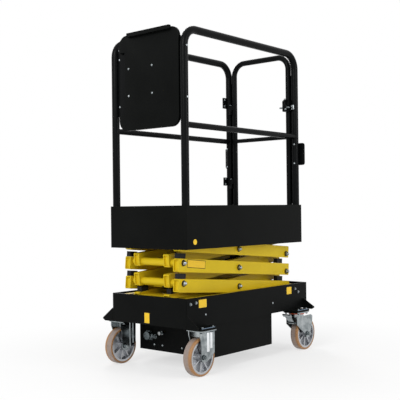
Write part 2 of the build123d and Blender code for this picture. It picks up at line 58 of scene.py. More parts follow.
# %% Camera
IMAGE_PIXELS = 400.0
SENSOR_MM = 36.0
FOCAL_PIXELS = 781.6856
SHIFT_PIXELS = 5.5453
EYE = (-3.58186, -2.93576, 0.87009)
YAW = 0.7044348760007137
PITCH = 0.004036724818414612
ROLL = 0.011088760119879828
camera_data = bpy.data.cameras.new("camera")
camera_data.sensor_width = SENSOR_MM
camera_data.lens = FOCAL_PIXELS * SENSOR_MM / IMAGE_PIXELS
camera_data.shift_y = SHIFT_PIXELS / IMAGE_PIXELS
camera_data.clip_start = 0.1
camera = bpy.data.objects.new("camera", camera_data)
bpy.context.scene.collection.objects.link(camera)
camera.location = EYE
camera.rotation_euler = (math.pi / 2 + PITCH, ROLL, YAW - math.pi / 2)
bpy.context.scene.camera = camera
bpy.context.scene.view_settings.view_transform = "Standard"
print("lens in mm", round(camera_data.lens, 2))

# %% [markdown]
# Every material here is a small tree of nodes. Arithmetic on a mask and a
# stretch from one range of values to another come up again and again, so each
# gets a helper that makes the node, links it and gives back its result.


# %% Helpers for node trees
def math_node(tree, operation, *values):
    """A Math node on numbers or sockets."""
    node = tree.nodes.new("ShaderNodeMath")
    node.operation = operation
    for socket, value in zip(node.inputs, values):
        if isinstance(value, (int, float)):
            socket.default_value = value
        else:
            tree.links.new(value, socket)
    return node.outputs[0]


def range_node(tree, value, start, end, low=0.0, high=1.0, shape="LINEAR"):
    """A Map Range node: start becomes low, and end becomes high."""
    node = tree.nodes.new("ShaderNodeMapRange")
    node.interpolation_type = shape
    node.inputs["From Min"].default_value = start
    node.inputs["From Max"].default_value = end
    node.inputs["To Min"].default_value = low
    node.inputs["To Max"].default_value = high
    tree.links.new(value, node.inputs["Value"])
    return node.outputs["Result"]


def mix_colors(tree, share, first, second):
    """A colour Mix node between two sockets, or a socket and a colour."""
    node = tree.nodes.new("ShaderNodeMix")
    node.data_type = "RGBA"
    tree.links.new(share, node.inputs[0])
    for socket, value in ((node.inputs[6], first), (node.inputs[7], second)):
        if isinstance(value, tuple):
            socket.default_value = value
        else:
            tree.links.new(value, socket)
    return node.outputs[2]


def noise_node(tree, scale, detail, roughness=0.5):
    """Noise on Object coordinates, which stay with the piece as it moves."""
    coords = tree.nodes.new("ShaderNodeTexCoord")
    node = tree.nodes.new("ShaderNodeTexNoise")
    node.inputs["Detail"].default_value = detail
    node.inputs["Roughness"].default_value = roughness
    tree.links.new(coords.outputs["Object"], node.inputs["Vector"])
    tree.links.new(scale, node.inputs["Scale"])
    return node.outputs["Fac"]


print("node helpers ready")

# %% [markdown]
# A white studio. The world lights the machine softly at about half strength,
# and shows plain white to the camera and in mirror images, which a Light Path
# node tells apart. Black paint shows its form by what it mirrors, so it needs
# such a bright room around it.

# %% World
ROOM_LIGHT = 0.55
ROOM_WHITE = 1.0
world = bpy.data.worlds.new("studio")
bpy.context.scene.world = world
world.use_nodes = True
tree = world.node_tree
tree.nodes.clear()
paths = tree.nodes.new("ShaderNodeLightPath")
seen = math_node(tree, "MAXIMUM", paths.outputs["Is Camera Ray"], paths.outputs["Is Glossy Ray"])
seen = math_node(tree, "MAXIMUM", seen, paths.outputs["Is Transmission Ray"])
back = tree.nodes.new("ShaderNodeBackground")
back.inputs["Color"].default_value = (1, 1, 1, 1)
tree.links.new(range_node(tree, seen, 0.0, 1.0, ROOM_LIGHT, ROOM_WHITE), back.inputs["Strength"])
out = tree.nodes.new("ShaderNodeOutputWorld")
tree.links.new(back.outputs[0], out.inputs["Surface"])
print("world", world.name)

# %% [markdown]
# The floor is a wide plane. Near the machine it is part diffuse, so that it
# takes a soft shadow, and further out it fades to the white of the world, so
# that no horizon shows.

# %% Floor
FLOOR_SIZE = 60.0
SHADOW_REACH = 0.5
WHITE_REACH = 1.9
NEAR_GLOW = 0.62


def deselect():
    bpy.ops.object.select_all(action="DESELECT")


deselect()
bpy.ops.mesh.primitive_plane_add(size=FLOOR_SIZE, location=(0, 0, 0))
floor = bpy.context.object
floor.name = "floor"
floor_paint = bpy.data.materials.new("floor_paint")
floor_paint.use_nodes = True
tree = floor_paint.node_tree
tree.nodes.clear()
diffuse = tree.nodes.new("ShaderNodeBsdfDiffuse")
diffuse.inputs["Color"].default_value = (0.92, 0.92, 0.92, 1)
glow = tree.nodes.new("ShaderNodeEmission")
glow.inputs["Strength"].default_value = 1.0
paths = tree.nodes.new("ShaderNodeLightPath")
seen = math_node(tree, "MAXIMUM", paths.outputs["Is Camera Ray"], paths.outputs["Is Glossy Ray"])
spot = tree.nodes.new("ShaderNodeTexCoord")
reach = tree.nodes.new("ShaderNodeVectorMath")
reach.operation = "LENGTH"
tree.links.new(spot.outputs["Object"], reach.inputs[0])
fade = range_node(tree, reach.outputs["Value"], SHADOW_REACH, WHITE_REACH, NEAR_GLOW, 1.0,
                  shape="SMOOTHSTEP")
mix = tree.nodes.new("ShaderNodeMixShader")
tree.links.new(math_node(tree, "MULTIPLY", seen, fade), mix.inputs[0])
tree.links.new(diffuse.outputs[0], mix.inputs[1])
tree.links.new(glow.outputs[0], mix.inputs[2])
out = tree.nodes.new("ShaderNodeOutputMaterial")
tree.links.new(mix.outputs[0], out.inputs["Surface"])
floor.data.materials.append(floor_paint)
print("floor", floor.name)

# %% [markdown]
# Three large lamps stand round the machine at the height of a tall tripod.
# The key stands to the left of the camera, the fill faces the long side, and
# the rim draws the edges of the tubes from behind.


# %% Lamps
def area_lamp(name, spot, target, width, height, watts):
    """A rectangular lamp that looks from a spot at a target."""
    data = bpy.data.lights.new(name, "AREA")
    data.shape = "RECTANGLE"
    data.size = width
    data.size_y = height
    data.energy = watts
    lamp = bpy.data.objects.new(name, data)
    bpy.context.scene.collection.objects.link(lamp)
    lamp.location = spot
    direction = Vector(target) - Vector(spot)
    lamp.rotation_euler = direction.to_track_quat("-Z", "Y").to_euler()


area_lamp("key", (-4.5, -0.8, 3.6), (0, 0, 0.9), 1.8, 2.6, 125)
area_lamp("fill", (0.5, -5.0, 2.6), (0, 0, 0.8), 1.6, 2.6, 80)
area_lamp("rim", (2.5, 3.5, 3.5), (0, 0, 1.0), 1.5, 2.0, 70)

# %% [markdown]
# Paint, plating and moulded parts are never one flat colour. Three small node
# groups give the changes that several finishes share. The first is a mottle
# that moves colour and roughness a little, both by the same noise.


# %% Node group for mottled colour
def new_group(name, inputs, outputs):
    """An empty group with its named inputs and outputs."""
    group = bpy.data.node_groups.new(name, "ShaderNodeTree")
    for label, kind, value in inputs:
        socket = group.interface.new_socket(name=label, in_out="INPUT", socket_type=kind)
        socket.default_value = value
    for label, kind in outputs:
        group.interface.new_socket(name=label, in_out="OUTPUT", socket_type=kind)
    start = group.nodes.new("NodeGroupInput")
    end = group.nodes.new("NodeGroupOutput")
    return group, start.outputs, end.inputs


FLOAT = "NodeSocketFloat"
COLOR = "NodeSocketColor"

mottle, given, result = new_group(
    "mottle",
    [("Color", COLOR, (0.5, 0.5, 0.5, 1)), ("Other", COLOR, (0.4, 0.4, 0.4, 1)),
     ("Scale", FLOAT, 8.0), ("Amount", FLOAT, 0.3),
     ("Rough", FLOAT, 0.4), ("Spread", FLOAT, 0.1)],
    [("Color", COLOR), ("Roughness", FLOAT)])
clouds = noise_node(mottle, given["Scale"], detail=6.0, roughness=0.62)
share = math_node(mottle, "MULTIPLY", range_node(mottle, clouds, 0.35, 0.68), given["Amount"])
mottle.links.new(mix_colors(mottle, share, given["Color"], given["Other"]), result["Color"])
centred = math_node(mottle, "SUBTRACT", clouds, 0.5)
mottle.links.new(math_node(mottle, "MULTIPLY_ADD", centred, given["Spread"], given["Rough"]),
                 result["Roughness"])
print("node group", mottle.name)

# %% [markdown]
# The second group is the height of a sprayed or cast surface: fine grain, with
# a share of wider waves in it. A Bump node in each material turns that height
# into relief.

# %% Node group for fine grain
grain, given, result = new_group(
    "grain", [("Scale", FLOAT, 900.0), ("Waves", FLOAT, 60.0), ("Wave share", FLOAT, 0.3)],
    [("Height", FLOAT)])
blend = grain.nodes.new("ShaderNodeMix")
grain.links.new(given["Wave share"], blend.inputs[0])
grain.links.new(noise_node(grain, given["Scale"], detail=3.0), blend.inputs[2])
grain.links.new(noise_node(grain, given["Waves"], detail=2.0), blend.inputs[3])
grain.links.new(blend.outputs[0], result["Height"])
print("node group", grain.name)

# %% [markdown]
# The third group finds edges and tints them: a lighter tint on the black paints,
# which is a painted highlight along the edges, and a brown one on the yellow arms,
# which is wear. The Bevel node gives a normal rounded over the edge, and where
# that departs from the true normal there is an edge. Noise breaks the line into
# patches.

# %% Node group for tinted edges: painted highlight and wear
FLAT_ENOUGH = 0.98
SHARP = 0.86
edges, given, result = new_group(
    "edge_mask", [("Width", FLOAT, 0.002), ("Break up", FLOAT, 60.0), ("Amount", FLOAT, 0.6)],
    [("Mask", FLOAT)])
rounded = edges.nodes.new("ShaderNodeBevel")
rounded.samples = 4
edges.links.new(given["Width"], rounded.inputs["Radius"])
geometry = edges.nodes.new("ShaderNodeNewGeometry")
facing = edges.nodes.new("ShaderNodeVectorMath")
facing.operation = "DOT_PRODUCT"
edges.links.new(rounded.outputs["Normal"], facing.inputs[0])
edges.links.new(geometry.outputs["Normal"], facing.inputs[1])
on_edge = range_node(edges, facing.outputs["Value"], FLAT_ENOUGH, SHARP)
patches = range_node(edges, noise_node(edges, given["Break up"], detail=4.0), 0.38, 0.62)
broken = math_node(edges, "MULTIPLY", on_edge, patches)
edges.links.new(math_node(edges, "MULTIPLY", broken, given["Amount"]), result["Mask"])
print("node group", edges.name)

# %% [markdown]
# One recipe builds every finish from those groups. What changes over the
# surface is linked, and what is the same all over is set on the shader.
# Fine powder paint mirrors less than a smooth one, so its specular level is
# low, and that keeps the black black in a white room.


# %% The finish recipe
def finish(name, color, other, scale=8.0, amount=0.3, rough=0.4, spread=0.1, metal=0.0,
           grain_scale=900.0, bump=0.1, depth=0.0004, edge=None, specular=0.5):
    """A material; edge is the colour, width and share of its edge tint, lighter a painted
    highlight, darker wear.
    """
    paint = bpy.data.materials.new(name)
    paint.use_nodes = True
    tree = paint.node_tree
    shader = tree.nodes["Principled BSDF"]
    shader.inputs["Metallic"].default_value = metal
    shader.inputs["Specular IOR Level"].default_value = specular
    spots = tree.nodes.new("ShaderNodeGroup")
    spots.node_tree = mottle
    spots.inputs["Color"].default_value = (*color, 1)
    spots.inputs["Other"].default_value = (*other, 1)
    spots.inputs["Scale"].default_value = scale
    spots.inputs["Amount"].default_value = amount
    spots.inputs["Rough"].default_value = rough
    spots.inputs["Spread"].default_value = spread
    tree.links.new(spots.outputs["Roughness"], shader.inputs["Roughness"])
    surface = spots.outputs["Color"]
    # The edge tint is a painted highlight on the black finishes and wear on the yellow.
    if edge:
        tinted, width, share = edge
        mask = tree.nodes.new("ShaderNodeGroup")
        mask.node_tree = edges
        mask.inputs["Width"].default_value = width
        mask.inputs["Amount"].default_value = share
        surface = mix_colors(tree, mask.outputs["Mask"], surface, (*tinted, 1))
    tree.links.new(surface, shader.inputs["Base Color"])
    relief = tree.nodes.new("ShaderNodeGroup")
    relief.node_tree = grain
    relief.inputs["Scale"].default_value = grain_scale
    raised = tree.nodes.new("ShaderNodeBump")
    raised.inputs["Strength"].default_value = bump
    raised.inputs["Distance"].default_value = depth
    tree.links.new(relief.outputs["Height"], raised.inputs["Height"])
    tree.links.new(raised.outputs["Normal"], shader.inputs["Normal"])
    return paint


print("recipe", finish.__name__)

# %% [markdown]
# Painted and plated metal first. The powder coat of the tub is rougher than
# the gloss of the rails, both are nearly black, and the arms are a warm
# yellow with brown wear along their edges. The lighter grey on the edges of
# the black tub and cylinders is a painted highlight. Zinc is mottled by its
# crystals.

# %% Metal finishes
# The lighter grey edge tint of the black powder coat is a painted highlight.
CHASSIS = finish("chassis_powder", (0.0024, 0.0028, 0.0026), (0.0055, 0.0061, 0.0058), 5.0, 0.5,
                 0.46, 0.16, grain_scale=650.0, bump=0.35, depth=0.0006,
                 edge=((0.045, 0.047, 0.045), 0.0016, 0.5), specular=0.045)
RAIL = finish("rail_gloss", (0.0024, 0.0028, 0.003), (0.005, 0.0056, 0.006), 9.0, 0.4,
              0.3, 0.08, grain_scale=420.0, bump=0.05, depth=0.0003, specular=0.07)
YELLOW = finish("arm_yellow", (0.69, 0.5, 0.012), (0.57, 0.405, 0.01), 6.0, 0.45,
                0.36, 0.14, grain_scale=380.0, bump=0.2, depth=0.0004,
                edge=((0.33, 0.21, 0.02), 0.0018, 0.45), specular=0.16)
ZINC = finish("zinc_plate", (0.4, 0.43, 0.44), (0.13, 0.155, 0.165), 34.0, 0.8,
              0.2, 0.18, metal=1.0, grain_scale=240.0, bump=0.12, depth=0.0003)
# A much brighter copy of the zinc for the pressed ribs: a painted highlight.
HIGHLIGHT_ZINC = finish("zinc_painted_highlight", (0.88, 0.9, 0.92), (0.72, 0.75, 0.78), 30.0, 0.4,
                     0.16, 0.1, metal=1.0, grain_scale=240.0, bump=0.06, depth=0.0003)
# A blue copy of the zinc for the clamp strips: its blue is a painted reflection.
BLUE_REFLECTION_ZINC = finish("zinc_painted_blue_reflection", (0.3, 0.4, 0.52), (0.18, 0.26, 0.36), 40.0, 0.6,
                   0.22, 0.14, metal=1.0, grain_scale=240.0, bump=0.1, depth=0.0003)
ALLOY = finish("wheel_alloy", (0.52, 0.53, 0.55), (0.36, 0.37, 0.39), 22.0, 0.6,
               0.34, 0.2, metal=1.0, grain_scale=520.0, bump=0.25, depth=0.0004)
# The lighter grey edge tint of the black cylinders is a painted highlight.
CYLINDER = finish("cylinder_black", (0.009, 0.009, 0.01), (0.02, 0.02, 0.02), 8.0, 0.4,
                  0.32, 0.12, bump=0.12, edge=((0.1, 0.1, 0.1), 0.0012, 0.4), specular=0.3)
CHROME = finish("rod_chrome", (0.34, 0.35, 0.37), (0.28, 0.29, 0.31), 14.0, 0.4,
                0.24, 0.08, metal=1.0, bump=0.004)
print("finishes", len(bpy.data.materials))

# %% [markdown]
# Then plastic, rubber and print. They differ most in roughness: rubber hardly
# shines, the sticker film does. The scales are in waves per metre.

# %% Plastic, rubber and sticker finishes
SEAL = finish("seal_red", (0.6, 0.085, 0.02), (0.42, 0.06, 0.02), 30.0, 0.4, 0.4, 0.1)
PAD = finish("pad_rubber", (0.01, 0.01, 0.01), (0.02, 0.02, 0.02), 40.0, 0.5, 0.7, 0.15,
             grain_scale=500.0, bump=0.4, depth=0.0006, specular=0.2)
NYLON = finish("roller_nylon", (0.05, 0.05, 0.052), (0.08, 0.08, 0.08), 30.0, 0.4, 0.45, 0.1)
BATTERY = finish("battery_case", (0.1, 0.1, 0.11), (0.14, 0.14, 0.15), 12.0, 0.4, 0.5, 0.1)
BOXES = finish("box_plastic", (0.014, 0.015, 0.017), (0.024, 0.025, 0.027), 14.0, 0.4,
               0.45, 0.1, grain_scale=700.0, bump=0.25, depth=0.0004, specular=0.3)
STICKER = finish("sticker_yellow", (0.86, 0.55, 0.02), (0.8, 0.5, 0.02), 20.0, 0.3,
                 0.3, 0.08, bump=0.03, specular=0.3)
BUTTON = finish("button_red", (0.55, 0.012, 0.01), (0.48, 0.01, 0.01), 20.0, 0.3, 0.25, 0.06,
                bump=0.05)
DIAL = finish("dial_white", (0.7, 0.7, 0.68), (0.62, 0.62, 0.6), 30.0, 0.3, 0.3, 0.06, bump=0.03)
print("finishes", len(bpy.data.materials))

# %% [markdown]
# A polyurethane tyre keeps its amber colour on the flanks and along its outer
# edge, and its running face turns grey and tan with floor dust. One mask goes
# by the distance from the axle, so it turns with the wheel, and one by the
# distance from the machine's middle. All wheels stand at the same distances,
# so absolute x and y serve the four of them.

# %% Tyre finish with a dusty running face
AXLE_X = 0.492
AXLE_Z = 0.1
FLANK_RADIUS = 0.0955
DUST_RADIUS = 0.0995
DUST_EDGE = 0.296
AMBER_EDGE = 0.309
TREAD = finish("tread_tan", (0.4, 0.2, 0.075), (0.29, 0.17, 0.1), 16.0, 0.7,
               0.42, 0.16, grain_scale=300.0, bump=0.2, depth=0.0005, specular=0.35)
tree = TREAD.node_tree
coords = tree.nodes.new("ShaderNodeTexCoord")
split = tree.nodes.new("ShaderNodeSeparateXYZ")
tree.links.new(coords.outputs["Object"], split.inputs[0])
across = math_node(tree, "SUBTRACT", math_node(tree, "ABSOLUTE", split.outputs["X"]), AXLE_X)
above = math_node(tree, "SUBTRACT", split.outputs["Z"], AXLE_Z)
squares = math_node(tree, "ADD", math_node(tree, "MULTIPLY", across, across),
                    math_node(tree, "MULTIPLY", above, above))
tinted = range_node(tree, math_node(tree, "SQRT", squares), FLANK_RADIUS, DUST_RADIUS,
                  shape="SMOOTHSTEP")
inside = range_node(tree, math_node(tree, "ABSOLUTE", split.outputs["Y"]), AMBER_EDGE, DUST_EDGE,
                    shape="SMOOTHSTEP")
dusty = tree.nodes.new("ShaderNodeGroup")
dusty.node_tree = mottle
dusty.inputs["Color"].default_value = (0.36, 0.27, 0.22, 1)
dusty.inputs["Other"].default_value = (0.22, 0.19, 0.18, 1)
dusty.inputs["Scale"].default_value = 22.0
dusty.inputs["Amount"].default_value = 0.8
base = tree.nodes["Principled BSDF"].inputs["Base Color"]
amber = base.links[0].from_socket
dust = math_node(tree, "MULTIPLY", tinted, inside)
tree.links.new(mix_colors(tree, dust, amber, dusty.outputs["Color"]), base)
print("tyre finish", TREAD.name)

# %% [markdown]
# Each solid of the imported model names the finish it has, so one list is all
# that is needed to paint the whole machine.

# %% Finishes on the solids
BY_SLOT = {"chassis_black": CHASSIS, "lift_yellow": YELLOW, "rail_black": RAIL, "zinc": ZINC,
           "hub_alu": ALLOY, "tyre_pu": TREAD, "seal_red": SEAL, "pad_rubber": PAD,
           "roller_nylon": NYLON, "battery_grey": BATTERY, "box_grey": BOXES,
           "cylinder_black": CYLINDER, "chrome": CHROME, "button_red": BUTTON}
for part in frame["record"]["subparts"]:
    node = NODES[part["node"]]
    for place in node.material_slots:
        place.material = BY_SLOT[part["material_slot"]]
print("finishes on", len(NODES), "nodes")

# %% [markdown]
# Every new piece is made about the origin and then laid in its place. Its
# place has to end up in its mesh, so the transform is applied each time. A
# direction says where the piece's own z goes, which suits anything that
# stands on a surface: bolts, plates and stickers.

# %% Helpers that place a piece
DOWN = (0, 0, -1)
UP = (0, 0, 1)
NEAR = (0, -1, 0)
FAR = (0, 1, 0)
FRONT = (-1, 0, 0)
BACK = (1, 0, 0)
SIDES = ((-1, NEAR), (1, FAR))


def settle(piece):
    """Selects one piece alone and puts its place and turn into its mesh."""
    deselect()
    piece.select_set(True)
    bpy.context.view_layer.objects.active = piece
    bpy.ops.object.transform_apply(location=True, rotation=True, scale=True)
    return piece


def turned_to(direction, spin=0.0):
    """The turn that lays +z along a direction, after a spin about z."""
    aim = Vector(direction).to_track_quat("Z", "Y").to_matrix().to_4x4()
    return aim @ Matrix.Rotation(spin, 4, "Z")


def laid(piece, place, direction, spin=0.0):
    """Moves a piece from the origin to its place."""
    piece.matrix_world = Matrix.Translation(place) @ turned_to(direction, spin)
    return settle(piece)


def join(pieces):
    """Makes one mesh of several."""
    deselect()
    for piece in pieces:
        piece.select_set(True)
    bpy.context.view_layer.objects.active = pieces[0]
    if len(pieces) > 1:
        bpy.ops.object.join()
    return bpy.context.object


def copies(template, spots):
    """One mesh with a copy of the template at each (place, direction, spin)."""
    made = []
    for spot in spots:
        piece = template.copy()
        piece.data = template.data.copy()
        bpy.context.scene.collection.objects.link(piece)
        made.append(laid(piece, *spot))
    return join(made)


def scrap(*templates):
    for template in templates:
        bpy.data.objects.remove(template, do_unlink=True)


print("sides", SIDES)

# %% [markdown]
# A finished mesh gets its name, its finish and the body that carries it.
# Faces that meet at less than the angle below are shaded as one round surface,
# and sharper edges stay crisp.

# %% The last step of every piece
SMOOTH_ANGLE = math.radians(32)


def seat(piece, name, paint, body, stands_for=()):
    """Gives a finished mesh its name, finish and body."""
    settle(piece)
    piece.name = name
    piece.data.name = name
    piece.data.materials.clear()
    piece.data.materials.append(paint)
    bpy.ops.object.shade_smooth_by_angle(angle=SMOOTH_ANGLE)
    if stands_for:
        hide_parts(*stands_for)
    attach(piece, body)
    print(name, len(piece.data.polygons), "faces on", body)


print("smooth under", round(math.degrees(SMOOTH_ANGLE)), "degrees")

# %% [markdown]
# Fasteners are what tells a real machine from a toy. Round ones are grown
# from a disc: every step extrudes the top face and resizes it, which follows
# a profile from washer to dome and leaves a closed shell.


# %% Round shapes
def grown(profile, sides=24):
    """Grows a round or many-sided piece along z from (radius, height) steps."""
    deselect()
    radius, height = profile[0]
    bpy.ops.mesh.primitive_circle_add(vertices=sides, radius=radius, fill_type="NGON",
                                      location=(0, 0, height))
    piece = settle(bpy.context.object)
    bpy.ops.object.mode_set(mode="EDIT")
    bpy.ops.mesh.select_all(action="SELECT")
    for wide, high in profile[1:]:
        rise = (0, 0, high - height)
        bpy.ops.mesh.extrude_region_move(TRANSFORM_OT_translate={"value": rise})
        bpy.ops.transform.resize(value=(wide / radius, wide / radius, 1))
        radius, height = wide, high
    bpy.ops.mesh.select_all(action="SELECT")
    bpy.ops.mesh.normals_make_consistent(inside=False)
    bpy.ops.object.mode_set(mode="OBJECT")
    return piece


def dome(radius, height, start, steps=5):
    """Profile steps of a round cap on top of a height."""
    last_turn = math.radians(84)
    made = []
    for step in range(steps + 1):
        turn = last_turn * step / steps
        made.append((radius * math.cos(turn), start + height * math.sin(turn)))
    return made


print("dome steps", len(dome(1.0, 1.0, 0.0)))

# %% [markdown]
# Sheet and bar come from two more shapes. A slab is a block with all its edges
# bevelled, and a leaf is a thin plate whose corners alone are bevelled before
# it is extruded to its thickness.


# %% Flat shapes
def slab(size, bevel, spot=(0, 0, 0)):
    """A block with its edges bevelled, centred on a spot."""
    deselect()
    bpy.ops.mesh.primitive_cube_add(size=1)
    piece = bpy.context.object
    piece.scale = size
    bpy.ops.object.transform_apply(location=False, rotation=False, scale=True)
    bpy.ops.object.mode_set(mode="EDIT")
    bpy.ops.mesh.select_all(action="SELECT")
    bpy.ops.mesh.bevel(offset=bevel, segments=3, affect="EDGES")
    bpy.ops.object.mode_set(mode="OBJECT")
    piece.location = spot
    return settle(piece)


def leaf(width, height, corner, thick, inset=0.0):
    """A thin plate with round corners, lying on the xy plane and facing +z."""
    deselect()
    bpy.ops.mesh.primitive_plane_add(size=1)
    piece = bpy.context.object
    piece.scale = (width - 2 * inset, height - 2 * inset, 1)
    bpy.ops.object.transform_apply(location=False, rotation=False, scale=True)
    bpy.ops.object.mode_set(mode="EDIT")
    bpy.ops.mesh.select_all(action="SELECT")
    bpy.ops.mesh.bevel(offset=corner, segments=5, affect="VERTICES")
    bpy.ops.mesh.select_all(action="SELECT")
    bpy.ops.mesh.extrude_region_move(TRANSFORM_OT_translate={"value": (0, 0, thick)})
    bpy.ops.mesh.select_all(action="SELECT")
    bpy.ops.mesh.normals_make_consistent(inside=False)
    bpy.ops.object.mode_set(mode="OBJECT")
    return piece


print("flat shapes ready")

# %% [markdown]
# A dome nut has a six-sided body with its corners chamfered and a round cap.
# It is two grown shells joined. A bolt head is the six-sided shell alone, on
# its washer, a screw is a low round head, and an axle nut shows the end of
# its thread.

# %% Fastener shapes
PIN_WASHER_THICK = 0.0022
nut_body = grown([(0.0128, 0), (0.0138, 0.0012), (0.0138, 0.0075), (0.0124, 0.009)], 6)
nut_cap = grown([(0.0108, 0.008)] + dome(0.0104, 0.0085, 0.0095), 24)
DOME_NUT = join([nut_body, nut_cap])
# The black washer under each pin nut; part of its black is painted shade.
PIN_WASHER_AND_SHADE = grown([(0.0165, 0), (0.0168, 0.0005), (0.0168, 0.0017),
                    (0.0162, PIN_WASHER_THICK)], 32)
head_body = grown([(0.0068, 0.0014), (0.0072, 0.0019), (0.0072, 0.0058), (0.0062, 0.0068)], 6)
head_washer = grown([(0.0082, 0), (0.0085, 0.0003), (0.0085, 0.0011), (0.0082, 0.0014)], 24)
BOLT_HEAD = join([head_body, head_washer])
SCREW = grown([(0.0062, 0), (0.0062, 0.001)] + dome(0.006, 0.0026, 0.0012, 4), 20)
AXLE_NUT = join([
    grown([(0.0105, 0.0016), (0.0115, 0.0024), (0.0115, 0.0082), (0.0102, 0.0092)], 6),
    grown([(0.0138, 0), (0.0142, 0.0004), (0.0142, 0.0012), (0.0138, 0.0016)], 28),
    grown([(0.006, 0.0085), (0.006, 0.0112), (0.0052, 0.012)], 20)])
print("shapes", DOME_NUT.name, BOLT_HEAD.name, SCREW.name, AXLE_NUT.name)

# %% [markdown]
# On the real pack every pin ends in a bright dome nut with a dark ring round
# it, partly a washer and partly shade. Here a black washer wider than the nut
# stands for the whole ring, so part of its black is painted shade. The nuts ride
# with the outer arm that holds the pin, so they stay on it when the pack opens.
# An outer arm rises by one stage from its right pin to its left one, so the
# height of any pin follows from where it is along the arm. Two ends have no
# nut: the lowest pin sits in lugs inside the tub, and the highest end carries a
# roller under the deck.

# %% Nuts and washers on the arm pins
PIN_FACE = 0.204
PIN_LEFT, PIN_MIDDLE, PIN_RIGHT = -0.506, -0.028, 0.45
LOWEST_PIN = 0.37
STAGE_RISE = 0.1075


def on_arm(stage, x):
    """The place (x, z) on the middle line of a stage's outer arm."""
    share = (PIN_RIGHT - x) / (PIN_RIGHT - PIN_LEFT)
    return x, LOWEST_PIN + (stage - 1 + share) * STAGE_RISE


for stage, pins in ((1, (PIN_LEFT, PIN_MIDDLE)), (2, (PIN_LEFT, PIN_MIDDLE, PIN_RIGHT)),
                    (3, (PIN_MIDDLE, PIN_RIGHT))):
    body = "outer_%d" % stage
    washer_and_shade_spots = []
    nuts = []
    for side, way in SIDES:
        for order, along in enumerate(pins):
            x, z = on_arm(stage, along)
            washer_and_shade_spots.append(((x, side * PIN_FACE, z), way, 0.0))
            nuts.append(((x, side * (PIN_FACE + PIN_WASHER_THICK), z), way,
                         0.3 + 0.4 * order))
    # Part of the washers' black is painted shade round the nuts.
    seat(copies(PIN_WASHER_AND_SHADE, washer_and_shade_spots), "pin_washers_and_shade_" + body, PAD, body)
    seat(copies(DOME_NUT, nuts), "pin_nuts_" + body, ZINC, body)

# %% [markdown]
# The tub carries bolt heads near its upper edge, and round-headed screws lower
# down. They are set on both long sides, because the far side is the mirror
# image of the near one. The power box shows its screws at its front end.

# %% Bolts of the tub and the power box
TUB_SIDE = 0.276
BOX_FRONT = -0.367
bolts = []
screws = []
for side, way in SIDES:
    for x, z in ((-0.537, 0.375), (-0.494, 0.379), (0.435, 0.374), (0.468, 0.353)):
        bolts.append(((x, side * TUB_SIDE, z), way, x))
    for x, z in ((-0.415, 0.31), (0.2, 0.31)):
        screws.append(((x, side * TUB_SIDE, z), way, 0.0))
for y, z in ((0.147, 0.103), (0.085, 0.103), (-0.062, 0.103), (-0.2, 0.103), (-0.2, 0.19)):
    screws.append(((BOX_FRONT, y, z), FRONT, 0.0))
seat(copies(BOLT_HEAD, bolts), "tub_bolts", ZINC, "chassis")
seat(copies(SCREW, screws), "box_screws", ZINC, "chassis")

# %% [markdown]
# Each castor is clamped to its wing by four bolts. On top they press a strip
# of zinc-plated steel whose blue tint is a painted reflection, and under the
# plate show four nuts.

# %% Castor bolts and clamp strips
CASTOR_Y = 0.292
BOLT_OFF = 0.042
NUT_OFF = 0.0462
STRIP_Z = 0.2512
STRIP_TOP = 0.2532
bolts = []
nuts = []
strips = []
for side, way in SIDES:
    for x, under in ((-0.470, 0.2312), (0.424, 0.231)):
        for off in (-BOLT_OFF, BOLT_OFF):
            bolts.append(((x + off, side * (CASTOR_Y + BOLT_OFF), STRIP_TOP), UP, off))
            for out in (-NUT_OFF, NUT_OFF):
                nuts.append(((x + off, side * (CASTOR_Y + out), under), DOWN, 1.0 + off))
        strip = leaf(0.108, 0.017, 0.003, 0.002)
        strip.location = (x, side * (CASTOR_Y + 0.0415), STRIP_Z)
        strips.append(settle(strip))
# The blue of the clamp strips is a painted reflection.
seat(join(strips), "clamp_strips", BLUE_REFLECTION_ZINC, "chassis")
seat(copies(BOLT_HEAD, bolts), "castor_bolts", ZINC, "chassis")
seat(copies(BOLT_HEAD, nuts), "castor_nuts", ZINC, "chassis")

# %% [markdown]
# A castor axle is a bolt through both legs, with a nut on each end. A fixed
# castor's nuts belong to the chassis, and a swivel castor's to its fork.

# %% Axle nuts
AXLE_END = 0.0455
ends = [((-AXLE_X, side * (CASTOR_Y + out * AXLE_END), AXLE_Z), (0, side * out, 0), 0.2 * out)
        for side, way in SIDES for out in (-1, 1)]
seat(copies(AXLE_NUT, ends), "axle_nuts_fixed", ZINC, "chassis")
for side, body in ((-1, "swivel_near"), (1, "swivel_far")):
    ends = [((AXLE_X, side * CASTOR_Y + out * AXLE_END, AXLE_Z), (0, out, 0), 0.35 * out)
            for out in (-1, 1)]
    seat(copies(AXLE_NUT, ends), "axle_nuts_" + body, ZINC, body)

# %% [markdown]
# The outer leg of a fixed castor is pressed with two upright ribs that catch
# the light as bright lines. The ribs are also in a much brighter copy of the
# zinc, a painted highlight that makes those lines. A rib is a bar bevelled
# until its outer face is nearly round.

# %% Pressed ribs on the fixed legs
LEG_FACE = 0.0385
RIB_TOP = 0.228
ribs = []
for side, way in SIDES:
    for x, low in ((-0.463, 0.126), (-0.437, 0.142)):
        ribs.append(slab((0.021, 0.006, RIB_TOP - low), 0.0029,
                         (x, side * (CASTOR_Y + LEG_FACE), (RIB_TOP + low) / 2)))
# The ribs' brighter zinc is a painted highlight.
seat(join(ribs), "leg_ribs", HIGHLIGHT_ZINC, "chassis")

# %% [markdown]
# A ball bearing closes the middle of each hub: a steel ring with a dark seal
# inside it. The ring turns with the wheel.

